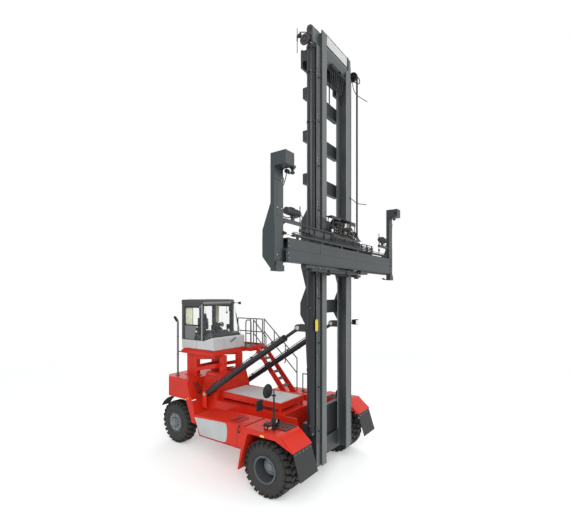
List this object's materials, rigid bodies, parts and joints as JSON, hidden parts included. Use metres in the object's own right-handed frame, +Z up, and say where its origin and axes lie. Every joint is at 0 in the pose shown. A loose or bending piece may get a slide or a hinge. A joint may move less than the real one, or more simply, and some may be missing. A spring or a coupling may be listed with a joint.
{
  "type": "empty container handler lift truck",
  "caption": "Diesel lift truck with a tall two stage mast and a telescopic top spreader that lifts and stacks empty shipping containers.",
  "frame": {"origin": "on the ground, at the centre of the bounding box of the whole truck", "axes": "+Z up, -Y towards the mast and spreader (driving direction forward), +X to the driver's left"},
  "size_m": [6.55, 6.7823, 11.7398],
  "materials": {
    "tyre_rubber": "matt",
    "rim_grey": "satin",
    "red_paint": "gloss",
    "white_paint": "satin",
    "mast_paint": "satin",
    "spreader_paint": "satin",
    "rod_chrome": "polished",
    "cab_grey": "satin",
    "clear_glass": "clear",
    "seat_fabric": "woven",
    "black_rubber": "matt",
    "dark_metal": "rough",
    "rail_grey": "satin",
    "black_plastic": "matt"
  },
  "bodies": {
    "chassis": {"arch_panels": "black_rubber", "cab_base": "white_paint", "cab_frame": "cab_grey", "cab_glass": "clear_glass", "cab_platform": "red_paint", "cab_roof": "cab_grey", "cab_stand": "red_paint", "console": "cab_grey", "counterweight": "red_paint", "deck_frame": "red_paint", "deck_panel": "white_paint", "drive_axle": "red_paint", "engine_block": "dark_metal", "exhaust": "dark_metal", "fenders": "red_paint", "front_lamps": "black_plastic", "handrails": "rail_grey", "ladder": "red_paint", "main_frame": "red_paint", "mirrors": "black_plastic", "mudflaps": "black_rubber", "rear_hood": "red_paint", "rear_mudguards": "black_rubber", "seat_base": "cab_grey", "seat_cushion": "seat_fabric", "side_tanks": "red_paint", "steer_axle": "red_paint", "tilt_bases": "mast_paint", "walkways": "red_paint"},
    "drive_wheel_left": {"drive_tyres_left": "tyre_rubber", "drive_rims_left": "rim_grey"},
    "drive_wheel_right": {"drive_tyres_right": "tyre_rubber", "drive_rims_right": "rim_grey"},
    "knuckle_left": {"knuckle_left": "red_paint"},
    "knuckle_right": {"knuckle_right": "red_paint"},
    "steer_wheel_left": {"steer_tyre_left": "tyre_rubber", "steer_rim_left": "rim_grey"},
    "steer_wheel_right": {"steer_tyre_right": "tyre_rubber", "steer_rim_right": "rim_grey"},
    "cab_door": {"cab_door": "cab_grey", "cab_door_glass": "clear_glass"},
    "outer_mast": {"outer_mast": "mast_paint", "mast_crossbars": "mast_paint", "mast_brackets": "mast_paint", "lift_barrels": "mast_paint", "mast_lamp": "black_plastic"},
    "inner_mast": {"inner_mast": "mast_paint", "inner_crossbeams": "mast_paint", "lift_rods": "rod_chrome", "hose_sheaves": "dark_metal"},
    "carriage": {"carriage": "spreader_paint", "spreader_beam": "spreader_paint"},
    "spreader_left": {"spreader_arm_left": "spreader_paint", "end_post_left": "spreader_paint"},
    "spreader_right": {"spreader_arm_right": "spreader_paint", "end_post_right": "spreader_paint"},
    "tilt_barrel_left": {"tilt_barrel_left": "mast_paint"},
    "tilt_barrel_right": {"tilt_barrel_right": "mast_paint"},
    "tilt_rod_left": {"tilt_rod_left": "rod_chrome"},
    "tilt_rod_right": {"tilt_rod_right": "rod_chrome"}
  },
  "joints": [
    {"name": "drive_wheel_left_spin", "type": "hinge", "parent": "chassis", "child": "drive_wheel_left", "pos_m": [1.66, -1.88, 0.69], "axis": [1, 0, 0], "continuous": true},
    {"name": "drive_wheel_right_spin", "type": "hinge", "parent": "chassis", "child": "drive_wheel_right", "pos_m": [-1.66, -1.88, 0.69], "axis": [1, 0, 0], "continuous": true},
    {"name": "steer_left", "type": "hinge", "parent": "chassis", "child": "knuckle_left", "pos_m": [0.69, 2.67, 0.69], "axis": [0, 0, 1], "range_deg": [-55, 55]},
    {"name": "steer_wheel_left_spin", "type": "hinge", "parent": "knuckle_left", "child": "steer_wheel_left", "pos_m": [0.93, 2.67, 0.69], "axis": [1, 0, 0], "continuous": true},
    {"name": "steer_right", "type": "hinge", "parent": "chassis", "child": "knuckle_right", "pos_m": [-0.69, 2.67, 0.69], "axis": [0, 0, 1], "range_deg": [-55, 55]},
    {"name": "steer_wheel_right_spin", "type": "hinge", "parent": "knuckle_right", "child": "steer_wheel_right", "pos_m": [-0.93, 2.67, 0.69], "axis": [1, 0, 0], "continuous": true},
    {"name": "cab_door_hinge", "type": "hinge", "parent": "chassis", "child": "cab_door", "pos_m": [0.746, 2.688, 3.9], "axis": [0, 0, 1], "range_deg": [0, 85]},
    {"name": "mast_tilt", "type": "hinge", "parent": "chassis", "child": "outer_mast", "pos_m": [0, -2.28, 0.8], "axis": [-1, 0, 0], "range_deg": [-4, 6]},
    {"name": "mast_lift", "type": "slide", "parent": "outer_mast", "child": "inner_mast", "axis": [0, 0, 1], "range_m": [0, 8.6]},
    {"name": "carriage_lift", "type": "slide", "parent": "inner_mast", "child": "carriage", "axis": [0, 0, 1], "range_m": [-5.15, 4.35]},
    {"name": "spreader_left_extend", "type": "slide", "parent": "carriage", "child": "spreader_left", "axis": [1, 0, 0], "range_m": [0, 3.05]},
    {"name": "spreader_right_extend", "type": "slide", "parent": "carriage", "child": "spreader_right", "axis": [-1, 0, 0], "range_m": [0, 3.05]},
    {"name": "tilt_cylinder_left_swing", "type": "hinge", "parent": "chassis", "child": "tilt_barrel_left", "pos_m": [0.9, 1.42, 1.78], "axis": [-1, 0, 0], "range_deg": [-3, 4]},
    {"name": "tilt_rod_left_slide", "type": "slide", "parent": "tilt_barrel_left", "child": "tilt_rod_left", "axis": [0, -0.8407, 0.5415], "range_m": [-0.4, 0.3]},
    {"name": "tilt_cylinder_right_swing", "type": "hinge", "parent": "chassis", "child": "tilt_barrel_right", "pos_m": [-0.9, 1.42, 1.78], "axis": [-1, 0, 0], "range_deg": [-3, 4]},
    {"name": "tilt_rod_right_slide", "type": "slide", "parent": "tilt_barrel_right", "child": "tilt_rod_right", "axis": [0, -0.8407, 0.5415], "range_m": [-0.4, 0.3]}
  ],
  "couplings": [
    {"joint": "steer_right", "follows": "steer_left", "ratio": 1},
    {"joint": "spreader_right_extend", "follows": "spreader_left_extend", "ratio": 1},
    {"joint": "tilt_cylinder_left_swing", "follows": "mast_tilt", "ratio": 0.3832},
    {"joint": "tilt_rod_left_slide", "follows": "mast_tilt", "m_per_rad": -2.8509},
    {"joint": "tilt_cylinder_right_swing", "follows": "mast_tilt", "ratio": 0.3832},
    {"joint": "tilt_rod_right_slide", "follows": "mast_tilt", "m_per_rad": -2.8509}
  ]
}
